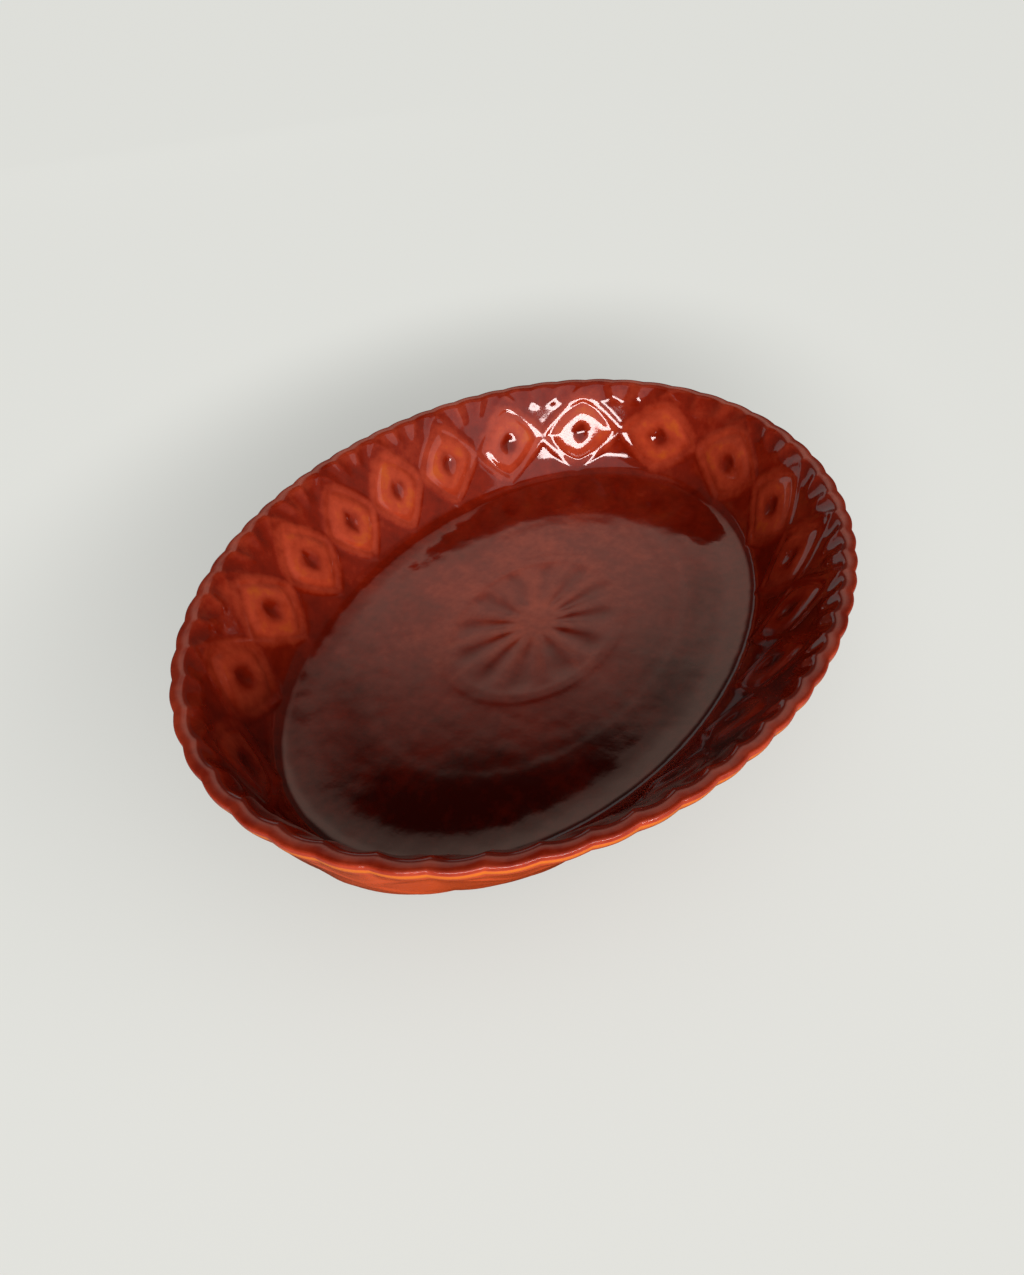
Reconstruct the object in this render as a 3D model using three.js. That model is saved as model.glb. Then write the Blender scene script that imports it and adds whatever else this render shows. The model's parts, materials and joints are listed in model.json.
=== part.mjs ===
// Deep oval serving dish of glazed earthenware, in millimetres, +Z up.
// The origin is the centre of the foot face, +X runs along the dish.
// One fired clay body carries two coats of glaze: one poured inside and over
// the lip, one outside down to the bare foot. The coats meet under the edge of the lip.

import * as THREE from "three";

// Overall size, over the crests of the scalloped lip
const dishLength = 340;
const dishWidth = 268;
const dishHeight = 60;

// Lip: a rounded band all round the mouth
const lipWidth = 6.5;
const lipEdgeDrop = 2.4;
const lipCrownInset = 2.6;
const lipInnerDrop = 1.2;
const lipUnderCut = 0.9;
const lipUnderDrop = 6;

// Inner wall, steeper at the ends of the oval than along its sides
const bandTopInset = 9.6;
const bandTopDrop = 6.5;
const bandFootInsetEnd = 20.8;
const bandFootInsetSide = 34.6;
const bandFootDrop = 46.5;
const coveRun = 15;
const wallRun = 8.3;

// Floor, with a ring near its edge and a rosette within a ring in its middle
const floorThickness = 6.3;
const floorRingLength = 197;
const floorRingWidth = 132;
const medallionLength = 107.6;
const medallionWidth = 78;
const ringRise = 0.4;
const petalCount = 12;
const petalDepth = 0.8;
const coveRise = 2;

// Foot: a low bare ring with a shallow recess inside it
const footHeight = 3;
const footWidth = 8;
const footInsetEnd = 31;
const footInsetSide = 45;
const footRecess = 2;
const bellyDrop = 52;
const bellyRun = 7.5;

// Glaze
const glazeThickness = 0.6;
const glazeClearance = 0.3;
const glazeLineLift = 1.2;
const coatSeamDrop = 3.9;

// Relief: lozenges round the wall, three scallops of the lip to each of them
const lozengeCount = 20;
const scallopsPerLozenge = 3;
const patternTurn = THREE.MathUtils.degToRad(2.7);
const scallopDepth = 1.4;
const scallopDip = 0.2;
const lozengeRise = 1.2;
const pitDepth = 0.4;
const frameRise = 0.6;
const fluteRise = 0.8;
const lobeDepth = 1.1;

// Facets round the dish: two to each scallop
const columnsPerLozenge = 2 * scallopsPerLozenge;
const columnCount = columnsPerLozenge * lozengeCount;

const mix = THREE.MathUtils.lerp;
const floorTop = footRecess + floorThickness + glazeClearance + glazeThickness;

// Radius of an oval with these half axes, in the direction of polar angle t
function ovalRadius(t, halfLength, halfWidth) {
  return 1 / Math.hypot(Math.cos(t) / halfLength, Math.sin(t) / halfWidth);
}

// Where t lies in the ring of lozenges: 0 on a lozenge's axis, pi where two of them meet
function lozengePhase(t) {
  return lozengeCount * (t - patternTurn);
}

// 1 in the notch between two scallops of the lip, 0 on a crest
function notch(t) {
  return (1 + Math.cos(scallopsPerLozenge * lozengePhase(t))) / 2;
}

// Height of a pressed form at a reach from its middle, on straight lines between rows of [reach, height]
function heightAt(rows, reach) {
  const next = rows.findIndex(([edge]) => edge > reach);
  if (next <= 0) {
    return rows.at(next)[1];
  }
  const [[from, low], [to, high]] = [rows[next - 1], rows[next]];
  return mix(low, high, (reach - from) / (to - from));
}

const ringSection = [[0, -pitDepth], [0.12, -pitDepth], [0.3, lozengeRise], [0.5, lozengeRise], [0.7, 0]];
const frameSection = [[0.7, 0], [0.8, frameRise], [0.92, frameRise], [1, 0]];
const ringRoundness = 1.45;
const frameRoundness = 1.15;

// Height of the lozenges above the wall: a ring round a pit, within a low frame. down runs from 0 at
// their top tips to 1 at their bottom tips. Ridges fan up between them to the notches of the lip.
function lozengeRelief(t, down) {
  const across = Math.acos(Math.cos(lozengePhase(t))) / Math.PI;
  const below = Math.abs(2 * down - 1);
  const reach = (roundness) => (across ** roundness + below ** roundness) ** (1 / roundness);
  const ring = heightAt(ringSection, reach(ringRoundness));
  const frame = heightAt(frameSection, reach(frameRoundness));
  const flute = reach(1) > 1.1 ? fluteRise * notch(t) * Math.max(0, 1 - 3 * down) : 0;
  return ring + frame + flute;
}

// Depth of the rosette's leaf-shaped grooves, at a share of the way from its middle to its ring
const petalSection = [[0.28, 0], [0.57, petalDepth], [0.9, 0]];
function petalRelief(t, share) {
  const turn = Math.atan2(Math.sin(t) / medallionWidth, Math.cos(t) / medallionLength);
  return -heightAt(petalSection, share) * Math.max(0, Math.cos(petalCount * turn));
}

// The outside draws in behind each lozenge, which leaves a lobe between them
function lobeRelief(t, share) {
  return -lobeDepth * share * (1 + Math.cos(lozengePhase(t))) / 2;
}

// An inset from the rim's oval, in from the ends and in from the long sides
const evenInset = (inset) => ({ end: inset, side: inset });
const shiftInset = (inset, by) => ({ end: inset.end + by, side: inset.side + by });
const footInset = { end: footInsetEnd, side: footInsetSide };

// A point of the section at polar angle t: radius, height, and how far relief lifts it off the surface
function stationAt(t, inset, drop, scallopShare = 0, relief = 0) {
  const plain = ovalRadius(t, dishLength / 2 - inset.end, dishWidth / 2 - inset.side);
  const r = plain - scallopDepth * scallopShare * notch(t);
  const z = dishHeight - drop - scallopDip * scallopShare * notch(t);
  return { r, z, relief };
}

// The outer side of the lip leans in a little, from its edge to the cut under it
function lipSideStation(t, drop) {
  const inset = lipUnderCut * (drop - lipEdgeDrop) / (lipUnderDrop - lipEdgeDrop);
  return stationAt(t, evenInset(inset), drop, 1);
}

// Inset of the glazed inner wall. down runs from 0 at the lozenges' top tips to 1 at their bottom tips.
function wallInset(down) {
  return {
    end: mix(bandTopInset, bandFootInsetEnd, down),
    side: mix(bandTopInset, bandFootInsetSide, down),
  };
}

const wallDrop = (down) => mix(bandTopDrop, bandFootDrop, down);

// Glazed face of the inside, from the middle of the floor over the lip to the seam of the coats
function insideStations(t) {
  const rosette = [0.28, 0.57, 0.9, 1].map((share) => {
    const r = share * ovalRadius(t, medallionLength / 2, medallionWidth / 2);
    return { r, z: floorTop, relief: share === 1 ? ringRise : petalRelief(t, share) };
  });
  const wall = [1, 5 / 6, 4 / 6, 3 / 6, 2 / 6, 1 / 6, 0].map((down) => {
    const scallopShare = down === 0 ? 0.6 : 0;
    return stationAt(t, wallInset(down), wallDrop(down), scallopShare, lozengeRelief(t, down));
  });
  return [
    { r: 0, z: floorTop, relief: 0 },
    ...rosette,
    { r: ovalRadius(t, floorRingLength / 2, floorRingWidth / 2), z: floorTop, relief: ringRise },
    stationAt(t, shiftInset(wallInset(1), coveRun), dishHeight - floorTop - coveRise),
    ...wall,
    stationAt(t, evenInset(lipWidth), lipInnerDrop, 1),
    stationAt(t, evenInset(lipCrownInset), 0, 1),
    lipSideStation(t, lipEdgeDrop),
    lipSideStation(t, coatSeamDrop),
  ];
}

// Glazed face of the outside, from the seam of the coats to the glaze line above the foot
function outsideStations(t) {
  const wall = [0.1, 0.5, 1].map((down) => {
    const scallopShare = down === 0.1 ? 0.4 : 0;
    const lobeShare = down === 0.1 ? 0.3 : 1;
    const inset = shiftInset(wallInset(down), -wallRun);
    return stationAt(t, inset, wallDrop(down), scallopShare, lobeRelief(t, lobeShare));
  });
  const bellyLobeShare = 0.5;
  const glazeLineDrop = dishHeight - footHeight - glazeLineLift;
  return [
    lipSideStation(t, coatSeamDrop + glazeClearance),
    lipSideStation(t, lipUnderDrop),
    ...wall,
    stationAt(t, shiftInset(wallInset(1), bellyRun - wallRun), bellyDrop, 0, lobeRelief(t, bellyLobeShare)),
    stationAt(t, shiftInset(footInset, -glazeLineLift), glazeLineDrop),
  ];
}

// Bare clay of the foot, from its outer edge to the middle of the underside
function footStations(t) {
  const radius = (run) => stationAt(t, shiftInset(footInset, run), 0).r;
  return [
    { r: radius(0), z: footHeight },
    { r: radius(0), z: 0 },
    { r: radius(footWidth), z: 0 },
    { r: radius(footWidth + footRecess), z: footRecess },
    { r: 0, z: footRecess },
  ];
}

// Unit normal of the step from a to b, on its outer side
function stepNormal(a, b) {
  const length = Math.hypot(b.r - a.r, b.z - a.z);
  return { r: (a.z - b.z) / length, z: (b.r - a.r) / length };
}

// The skin sunk by depth below the glazed face, with its relief. Corners are mitred, so that
// two skins at different depths stay the same distance apart.
function sinkSkin(stations, depth) {
  return stations.map((here, i) => {
    const before = stations[i - 1] ?? { r: -stations[1].r, z: stations[1].z };
    const after = stations[i + 1] ?? { r: 2 * here.r - before.r, z: 2 * here.z - before.z };
    const one = stepNormal(before, here);
    const two = stepNormal(here, after);
    const mitre = 1 + one.r * two.r + one.z * two.z;
    const lift = here.relief - depth;
    return { r: here.r + lift * (one.r + two.r) / mitre, z: here.z + lift * (one.z + two.z) / mitre };
  });
}

// A closed body swept round the oval. sectionAt(t) gives its outline at polar angle t, clockwise seen
// with the axis on the left. An outline that starts and ends on the axis is capped there by one point.
// A coat's outline runs back under its face from station faceCount on, and its facets there are
// split along the same diagonals as those of the face, so that the coat keeps its thickness.
function sweptGeometry(sectionAt, faceCount = Infinity) {
  const sections = Array.from({ length: columnCount }, (_, column) => {
    const t = patternTurn + (2 * Math.PI * column) / columnCount;
    return sectionAt(t).map(({ r, z }) => [r * Math.cos(t), r * Math.sin(t), z]);
  });
  const onAxis = ([x, y]) => Math.hypot(x, y) < 1e-6;
  const stationCount = sections[0].length;
  const capped = onAxis(sections[0][0]);
  const positions = [];
  const rings = sections[0].map((first, station) => {
    const start = positions.length / 3;
    if (onAxis(first)) {
      positions.push(0, 0, first[2]);
      return () => start;
    }
    sections.forEach((section) => positions.push(...section[station]));
    return (column) => start + (column % columnCount);
  });
  const indices = [];
  const bandCount = capped ? stationCount - 1 : stationCount;
  for (let band = 0; band < bandCount; band += 1) {
    const upper = rings[band];
    const lower = rings[(band + 1) % stationCount];
    for (let column = 0; column < columnCount; column += 1) {
      const [a, b, c, d] = [upper(column), lower(column), lower(column + 1), upper(column + 1)];
      const split = band < faceCount ? [[a, b, c], [a, c, d]] : [[a, b, d], [b, c, d]];
      split.filter((corners) => new Set(corners).size === 3).forEach((corners) => indices.push(...corners));
    }
  }
  const geometry = new THREE.BufferGeometry();
  geometry.setAttribute("position", new THREE.Float32BufferAttribute(positions, 3));
  geometry.setIndex(indices);
  geometry.computeVertexNormals();
  return geometry;
}

// Fired clay body with its bare foot
function clayBody() {
  const depth = glazeThickness + glazeClearance;
  const geometry = sweptGeometry((t) => {
    const skin = [...insideStations(t), ...outsideStations(t)];
    return [...sinkSkin(skin, depth), ...footStations(t)];
  });
  return namedMesh("clay_body", geometry, 0xb5673c, 0.85);
}

// Coat poured inside, over the whole lip to its outer edge
function innerGlaze() {
  const lastInside = insideStations(0).length;
  const geometry = sweptGeometry((t) => {
    const skin = [...insideStations(t), ...outsideStations(t)];
    const face = sinkSkin(skin, 0).slice(0, lastInside);
    const back = sinkSkin(skin, glazeThickness).slice(0, lastInside);
    return [...face, ...back.reverse()];
  }, lastInside);
  return namedMesh("inner_glaze", geometry, 0x8b1500, 0.12);
}

// Coat on the outside, from the edge of the lip down to the glaze line
function outerGlaze() {
  const firstOutside = insideStations(0).length;
  const outsideCount = outsideStations(0).length;
  const geometry = sweptGeometry((t) => {
    const skin = [...insideStations(t), ...outsideStations(t)];
    const face = sinkSkin(skin, 0).slice(firstOutside);
    const back = sinkSkin(skin, glazeThickness).slice(firstOutside);
    return [...face, ...back.reverse()];
  }, outsideCount);
  return namedMesh("outer_glaze", geometry, 0xd9430b, 0.15);
}

function namedMesh(name, geometry, color, roughness) {
  const material = new THREE.MeshStandardMaterial({ color, roughness, metalness: 0 });
  const mesh = new THREE.Mesh(geometry, material);
  mesh.name = name;
  return mesh;
}

const dish = new THREE.Group();
dish.add(clayBody(), innerGlaze(), outerGlaze());

export default dish;
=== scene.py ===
"""Deep oval serving dish of glazed earthenware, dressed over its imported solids.

Three pieces: the fired clay body, the coat of glaze poured inside and over the lip, and the coat on the
outside. Each is an oval swept along a section, and one node tree presses the dish's relief into it.
"""

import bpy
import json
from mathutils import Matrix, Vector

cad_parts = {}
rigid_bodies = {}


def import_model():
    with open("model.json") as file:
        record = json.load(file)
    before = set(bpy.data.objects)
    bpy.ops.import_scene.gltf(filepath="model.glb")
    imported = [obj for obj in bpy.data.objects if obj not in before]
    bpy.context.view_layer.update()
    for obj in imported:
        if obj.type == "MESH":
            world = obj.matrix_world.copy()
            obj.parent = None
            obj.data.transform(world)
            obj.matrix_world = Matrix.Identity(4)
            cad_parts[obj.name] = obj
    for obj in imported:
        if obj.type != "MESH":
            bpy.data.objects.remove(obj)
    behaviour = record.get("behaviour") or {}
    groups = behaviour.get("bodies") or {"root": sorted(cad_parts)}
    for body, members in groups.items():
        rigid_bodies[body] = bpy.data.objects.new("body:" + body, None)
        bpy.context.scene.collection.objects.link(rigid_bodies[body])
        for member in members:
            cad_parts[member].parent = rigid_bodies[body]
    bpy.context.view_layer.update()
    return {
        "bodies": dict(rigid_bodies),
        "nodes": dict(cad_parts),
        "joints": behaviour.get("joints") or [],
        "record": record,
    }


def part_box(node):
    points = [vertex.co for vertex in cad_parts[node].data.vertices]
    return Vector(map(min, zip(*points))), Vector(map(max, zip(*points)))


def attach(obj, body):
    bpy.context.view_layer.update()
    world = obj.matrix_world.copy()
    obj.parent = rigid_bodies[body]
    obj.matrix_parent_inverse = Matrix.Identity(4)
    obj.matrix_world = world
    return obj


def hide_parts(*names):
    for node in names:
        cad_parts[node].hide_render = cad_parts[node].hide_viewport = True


bl_info = {
    "name": "Glazed oval dish",
    "version": (1, 0, 0),
    "blender": (4, 5, 0),
    "location": "3D View > Sidebar > Dish",
    "description": "Builds a deep oval earthenware dish with a scalloped lip and a band of lozenges",
    "category": "Add Mesh",
}

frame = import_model()

import json
import math

import bpy
import numpy as np
from bpy.props import FloatProperty, FloatVectorProperty, IntProperty, PointerProperty
from mathutils import Matrix, Vector

BODY = "root"
MM = 0.001

LIP_LOW, LIP_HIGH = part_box("inner_glaze")
CLAY_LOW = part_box("clay_body")[0]

# Columns of faces round the dish: on the pressed parts, on the plain parts and under the glaze
FULL_COLUMNS = 720
HALF_COLUMNS = FULL_COLUMNS // 2
COARSE_COLUMNS = FULL_COLUMNS // 4

# Kinds of node that the trees use most
MATHS = "ShaderNodeMath"
VECTORS = "ShaderNodeVectorMath"
RANGE = "ShaderNodeMapRange"
CURVE = "ShaderNodeFloatCurve"
NOISE = "ShaderNodeTexNoise"


def to_linear(hex_colour):
    """The linear colour, with full alpha, of an sRGB hex value such as 0x8B1500."""
    channels = [(hex_colour >> shift & 255) / 255 for shift in (16, 8, 0)]
    return [c / 12.92 if c <= 0.04045 else ((c + 0.055) / 1.055) ** 2.4 for c in channels] + [1.0]


def add_node(tree, kind, inputs=None, **settings):
    """Adds a node with its settings, and sets its inputs or links them to a node's first output."""
    node = tree.nodes.new(kind)
    for name, value in settings.items():
        setattr(node, name, value)
    for key, value in (inputs or {}).items():
        if isinstance(value, bpy.types.Node):
            value = value.outputs[0]
        if isinstance(value, bpy.types.NodeSocket):
            tree.links.new(value, node.inputs[key])
        else:
            node.inputs[key].default_value = value
    return node


def length_property(name, description, default):
    """A size that a user may change, in metres."""
    return FloatProperty(
        name=name, description=description, default=default, min=0, unit="LENGTH", precision=5
    )


def colour_property(name, description, default):
    """A colour that a user may change, from its sRGB hex value."""
    return FloatVectorProperty(
        name=name, description=description, size=4, subtype="COLOR", default=to_linear(default)
    )


class DishShape(bpy.types.PropertyGroup):
    """Sizes of the plain dish, before its relief is pressed."""

    length: length_property("Length", "Over the lip, along the dish", LIP_HIGH[0] - LIP_LOW[0])
    width: length_property("Width", "Over the lip, across the dish", LIP_HIGH[1] - LIP_LOW[1])
    height: length_property("Height", "From the foot to the top of the lip", LIP_HIGH[2] - CLAY_LOW[2])
    floor_top: length_property("Floor top", "Height of the glazed floor", 9.2 * MM)
    band_top_inset: length_property("Band top inset", "From the rim in to the lozenges' top tips", 9.6 * MM)
    band_foot_inset_end: length_property("Band foot inset, ends", "To their bottom tips", 20.8 * MM)
    band_foot_inset_side: length_property("Band foot inset, sides", "To their bottom tips", 34.6 * MM)
    band_top_drop: length_property("Band top drop", "From the rim down to the top tips", 6.5 * MM)
    band_foot_drop: length_property("Band foot drop", "From the rim down to the bottom tips", 46.5 * MM)
    wall_run: length_property("Wall run", "Thickness of the wall, measured level", 8.3 * MM)
    floor_length: length_property("Floor length", "Length of the oval where the flat floor starts", 197 * MM)
    floor_width: length_property("Floor width", "Width of that oval", 132 * MM)
    cove_rise: length_property("Cove rise", "Rise from the flat floor to the foot of the wall", 2.8 * MM)
    glaze_depth: length_property("Glaze depth", "Thickness of a coat of glaze", 1 * MM)
    clay_depth: length_property("Clay depth", "How far the clay lies under the glazed face", 1.6 * MM)
    foot_height: length_property("Foot height", "Height of the bare foot ring", 3 * MM)
    foot_width: length_property("Foot width", "Width of the foot's face", 8 * MM)
    foot_recess: length_property("Foot recess", "Depth of the underside inside the foot", 2 * MM)
    foot_inset_end: length_property("Foot inset, ends", "From the rim in to the foot", 31 * MM)
    foot_inset_side: length_property("Foot inset, sides", "From the rim in to the foot", 45 * MM)


class DishRelief(bpy.types.PropertyGroup):
    """Counts and heights of the pressed relief."""

    lozenges: IntProperty(name="Lozenges", description="Lozenges round the wall", default=20, min=3)
    scallops: IntProperty(name="Scallops", description="Scallops of the lip to a lozenge", default=3, min=1)
    turn: FloatProperty(
        name="Turn",
        description="Turn of the lozenges off the dish's length",
        default=math.radians(2.7),
        subtype="ANGLE",
    )
    scallop_depth: length_property("Scallop depth", "How far the lip's notches draw in", 0.95 * MM)
    scallop_dip: length_property("Scallop dip", "How far the lip's notches dip", 0.1 * MM)
    lozenge_rise: length_property("Lozenge rise", "Height of the lozenges' rings", 1.2 * MM)
    frame_rise: length_property("Frame rise", "Height of the frames round the rings", 0.4 * MM)
    flute_rise: length_property("Flute rise", "Height of the ridges that fan up to the lip", 0.85 * MM)
    lobe_depth: length_property("Lobe depth", "How far the outside draws in behind a lozenge", 1.1 * MM)
    medallion_length: length_property("Medallion length", "Length of the ring round the rosette", 107.6 * MM)
    medallion_width: length_property("Medallion width", "Width of that ring", 78 * MM)
    petals: IntProperty(name="Petals", description="Petals of the rosette on the floor", default=12, min=3)
    petal_depth: length_property("Petal depth", "Depth of the petals' grooves", 0.18 * MM)
    ring_rise: length_property("Ring rise", "Height of the rings on the floor", 0.18 * MM)
    waver: length_property("Waver", "Unevenness of the hand-pressed clay", 0.5 * MM)


class GlazeColours(bpy.types.PropertyGroup):
    """Colours of the glaze by its depth, and of the clay."""

    thin: colour_property("Thin glaze", "Over sharp edges", 0xD9701C)
    amber: colour_property("Amber glaze", "Over raised relief", 0xC24A2C)
    oxblood: colour_property("Oxblood glaze", "On plain stretches", 0x8A200A)
    pooled: colour_property("Pooled glaze", "In hollows", 0x440802)
    outside: colour_property("Outside glaze", "On the outside of the wall", 0xE05A26)
    clay: colour_property("Clay", "Bare fired clay", 0xB5673C)
    backdrop: colour_property("Backdrop", "The floor and what stands behind it", 0xE2E3DE)


class DishSettings(bpy.types.PropertyGroup):
    """Everything that the dish is made from."""

    shape: PointerProperty(type=DishShape)
    relief: PointerProperty(type=DishRelief)
    colours: PointerProperty(type=GlazeColours)


# Sections of the dish: rows of (half length, half width, height, lip, down, spacing). lip is how far a row
# follows the scallops. down is its place on the band of lozenges, 0 at their top tips and 1 at their bottom
# tips, and goes on over the floor. spacing is that of the rows of faces near it, in mm.
LIP, DOWN, SPACING = 3, 4, 5
FLOOR_EDGE, FLOOR_MIDDLE = 2.0, 3.0

# Flat floor, from its middle to its edge: (share of the oval at its edge, spacing)
FLOOR_OVALS = ((0, 1.3), (0.2, 1.3), (0.5, 1.3), (0.75, 2.0), (1, 1.5))
# Cove from the floor up to the wall: (share of the oval at the wall's foot, share of its rise, down)
COVE_OVALS = ((0.8, 0, 1.5), (0.885, 0.14, 1.3), (0.98, 0.8, 1.1))
# Inside of the wall: (down, lip)
WALL_OVALS = ((0.88, 0), (0.7, 0), (0.4, 0), (0.15, 0), (0.03, 0.3))
# Lip, over its crest to its outer edge: (inset from the rim and drop, both in mm, lip, down, spacing)
LIP_OVALS = (
    (6.7, 3.0, 0.5, -0.15, 0.8),
    (5.0, 0.75, 0.65, -0.25, 0.6),
    (1.4, 0.3, 0.85, -0.3, 0.5),
    (0.35, 0.5, 1, -0.35, 0.4),
    (0.15, 1.5, 1, -0.38, 0.5),
    (0.25, 3.2, 1, -0.42, 0.6),
    (0.4, 4.0, 1, -0.45, 0.6),
)
# Under the lip, in the same way
UNDER_LIP_OVALS = ((0.42, 4.05, 1, -0.45, 0.8), (0.9, 6.0, 0.95, -0.3, 0.8))
# Outside of the wall: (down, how far it is drawn in, in mm, lip, spacing)
OUTSIDE_OVALS = (
    (0.1, 0, 0.5, 1.2),
    (0.22, 0, 0.2, 1.6),
    (0.5, 0, 0, 1.6),
    (0.9, 0, 0, 1.6),
    (1.03, 1.5, 0, 1.2),
)
# Turn of the wall in to the foot: how far it stands in from the inner face's foot, and its drop
BELLY_INSET = 7.5 * MM
BELLY_DROP = 52 * MM
# Height of the edge of the outer glaze over the foot ring, and how far the clay reaches up under it
GLAZE_LINE = 1.2 * MM
CLAY_LAP = 0.6 * MM
FOOT_CORNER = 0.8 * MM


def oval(shape, inset_end, inset_side, drop, lip=0.0, down=0.0, spacing=1.0):
    """One control oval, by its insets from the rim at the ends and the sides and its drop from the rim."""
    half_length = shape.length / 2 - inset_end
    half_width = shape.width / 2 - inset_side
    return (half_length, half_width, shape.height - drop, lip, down, spacing)


def wall_oval(shape, down, run=0.0, lip=0.0, spacing=1.0):
    """A control oval of the wall, moved out through the wall by run."""
    inset_end = shape.band_top_inset + (shape.band_foot_inset_end - shape.band_top_inset) * down
    inset_side = shape.band_top_inset + (shape.band_foot_inset_side - shape.band_top_inset) * down
    drop = shape.band_top_drop + (shape.band_foot_drop - shape.band_top_drop) * down
    return oval(shape, inset_end - run, inset_side - run, drop, lip, down, spacing)


def lip_ovals(shape, rows):
    """Control ovals at one inset all round."""
    return [oval(shape, inset * MM, inset * MM, drop * MM, *rest) for inset, drop, *rest in rows]


def inside_section(shape):
    """The glazed inside, from the middle of the floor over the lip to its outer edge."""
    controls = []
    half_length, half_width = shape.floor_length / 2, shape.floor_width / 2
    for share, spacing in FLOOR_OVALS:
        down = FLOOR_MIDDLE - share
        controls.append((half_length * share, half_width * share, shape.floor_top, 0.0, down, spacing))
    half_length = shape.length / 2 - shape.band_foot_inset_end
    half_width = shape.width / 2 - shape.band_foot_inset_side
    for share, rise, down in COVE_OVALS:
        height = shape.floor_top + rise * shape.cove_rise
        controls.append((half_length * share, half_width * share, height, 0.0, down, 1.0))
    controls += [wall_oval(shape, down, lip=lip) for down, lip in WALL_OVALS]
    return controls + lip_ovals(shape, LIP_OVALS)


def outside_section(shape):
    """The glazed outside, from the edge of the lip to the glaze line above the foot."""
    controls = lip_ovals(shape, UNDER_LIP_OVALS)
    for down, drawn_in, lip, spacing in OUTSIDE_OVALS:
        controls.append(wall_oval(shape, down, shape.wall_run - drawn_in * MM, lip, spacing))
    wall_foot = (shape.band_foot_inset_end, shape.band_foot_inset_side)
    foot = (shape.foot_inset_end, shape.foot_inset_side)
    line_drop = shape.height - shape.foot_height - GLAZE_LINE
    for (end, side), inset, drop, down, spacing in (
        (wall_foot, BELLY_INSET - shape.wall_run, BELLY_DROP, 1.3, 1.2),
        (foot, -GLAZE_LINE - MM, line_drop - 0.8 * MM, 1.6, 1.0),
        (foot, -GLAZE_LINE, line_drop, 1.7, 0.6),
    ):
        controls.append(oval(shape, end + inset, side + inset, drop, 0, down, spacing))
    return controls


def foot_section(shape):
    """The bare foot, from its outer edge round its face to the middle of the underside."""
    width, recess, height = shape.foot_width, shape.foot_recess, shape.foot_height
    profile = (
        (0, height + CLAY_LAP),
        (0, height / 2),
        (0, 0),
        (FOOT_CORNER, 0),
        (width - FOOT_CORNER, 0),
        (width, 0),
        (width + recess, recess),
        (width + 3 * recess, recess),
    )
    controls = []
    for run, z in profile:
        end, side = shape.foot_inset_end + run, shape.foot_inset_side + run
        controls.append(oval(shape, end, side, shape.height - z, 0, FLOOR_EDGE, 0.8))
    controls.append((shape.length / 6, shape.width / 6, recess, 0.0, FLOOR_EDGE, 8.0))
    controls.append((0.0, 0.0, recess, 0.0, FLOOR_EDGE, 8.0))
    return controls


def round_section(controls):
    """Rounds a section and gives its rows of faces: a chain of parabolas that touch the middles of the
    steps between the control ovals."""
    controls = np.array(controls)
    points, spacing = controls[:, :SPACING], controls[:, SPACING] * MM
    rows = [points[0]]
    last = len(points) - 1
    for i in range(1, last):
        start = points[0] if i == 1 else (points[i - 1] + points[i]) / 2
        end = points[last] if i == last - 1 else (points[i] + points[i + 1]) / 2
        span = np.hypot(end[0] - start[0], end[2] - start[2])
        count = max(2, math.ceil(span / spacing[i]))
        for step in np.arange(1, count + 1) / count:
            rows.append((1 - step) ** 2 * start + 2 * step * (1 - step) * points[i] + step**2 * end)
    return np.array(rows)


# Half length below which a row is one point, and the least values that anything is divided by
POINT_SIZE = 1e-6
LEAST_RADIUS, LEAST_NORMAL = 1e-9, 1e-20
# Names of the values that each point carries for the relief, besides the direction that it is lifted in
POINT_VALUES = ("turn", "lip", "down", "inner", "outer")


def sweep(rows, first_turn):
    """Points and outward normals of the swept rows, with a column at the first turn and so on round."""
    turn = first_turn + 2 * np.pi * np.arange(FULL_COLUMNS) / FULL_COLUMNS
    half_length = np.maximum(rows[:, 0:1], LEAST_RADIUS)
    half_width = np.maximum(rows[:, 1:2], LEAST_RADIUS)
    radius = 1 / np.hypot(np.cos(turn) / half_length, np.sin(turn) / half_width)
    height = np.repeat(rows[:, 2:3], FULL_COLUMNS, axis=1)
    points = np.stack([radius * np.cos(turn), radius * np.sin(turn), height], axis=2)
    along = np.gradient(points, axis=0)
    around = np.roll(points, -1, axis=1) - np.roll(points, 1, axis=1)
    normals = np.cross(along, around)
    normals /= np.maximum(np.linalg.norm(normals, axis=2, keepdims=True), LEAST_NORMAL)
    for row in np.flatnonzero(rows[:, 0] < POINT_SIZE):
        neighbour = 1 if row == 0 else row - 1
        normals[row] = [0, 0, np.sign(normals[neighbour, 0, 2])]
    return points, normals, turn


class Ring:
    """One ring of vertices and their values for the relief."""

    def __init__(self, points, turn, lip, down, inner, outer, lift):
        count = len(points)
        self.points = points
        self.values = np.column_stack([turn, *(np.full(count, v) for v in (lip, down, inner, outer)), lift])


def rings_of(rows, first_turn, sink, inner, outer, columns):
    """Rings of the swept rows, sunk under the glazed face. inner and outer say which relief is pressed
    into them, and columns gives each row's number of columns."""
    points, normals, turn = sweep(rows, first_turn)
    rings = []
    for i, row in enumerate(rows):
        count = 1 if row[0] < POINT_SIZE else columns[i]
        kept = slice(None, None, FULL_COLUMNS // count)
        sunk = points[i, kept] - normals[i, kept] * sink
        rings.append(Ring(sunk, turn[kept], row[LIP], row[DOWN], inner, outer, normals[i, kept]))
    return rings


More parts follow.
